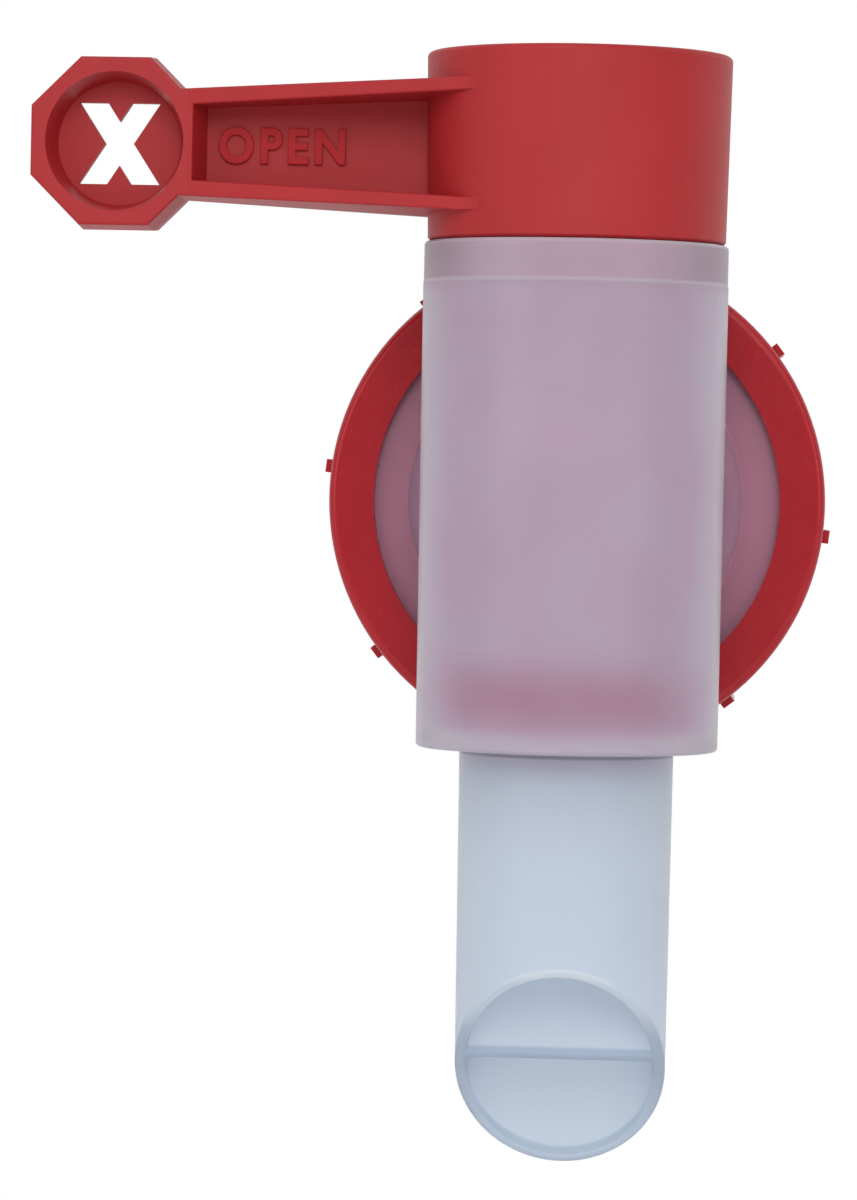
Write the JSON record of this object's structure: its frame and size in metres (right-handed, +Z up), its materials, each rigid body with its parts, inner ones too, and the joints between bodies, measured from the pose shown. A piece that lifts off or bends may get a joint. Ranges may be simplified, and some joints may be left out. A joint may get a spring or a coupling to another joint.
{
  "type": "lever dispensing tap with screw cap",
  "caption": "Lever tap for a container neck: milky upright barrel, slanted two-channel spout below, red lever handle on top and red screw cap behind.",
  "frame": {"origin": "centre of the cap's thread where it starts, on the inlet axis, at the face the container's rim seals on", "axes": "+Y along the inlet axis into the container, +Z up along the barrel, the user stands at -Y"},
  "size_m": [0.1072, 0.061, 0.1487],
  "materials": {
    "natural_plastic": "frosted, milky",
    "red_plastic": "satin",
    "gasket_rubber": "matt"
  },
  "bodies": {
    "tap": {"tap_body": "natural_plastic", "neck_gasket": "gasket_rubber"},
    "rotor": {"lever_handle": "red_plastic", "spout_plug": "natural_plastic"},
    "cap": {"screw_cap": "red_plastic"}
  },
  "joints": [
    {"name": "lever_turn", "type": "hinge", "parent": "tap", "child": "rotor", "pos_m": [0, -0.02765, 0], "axis": [0, 0, 1], "range_deg": [0, 90]},
    {"name": "cap_spin", "type": "hinge", "parent": "tap", "child": "cap", "pos_m": [0, 0, 0], "axis": [0, 1, 0], "continuous": true}
  ]
}
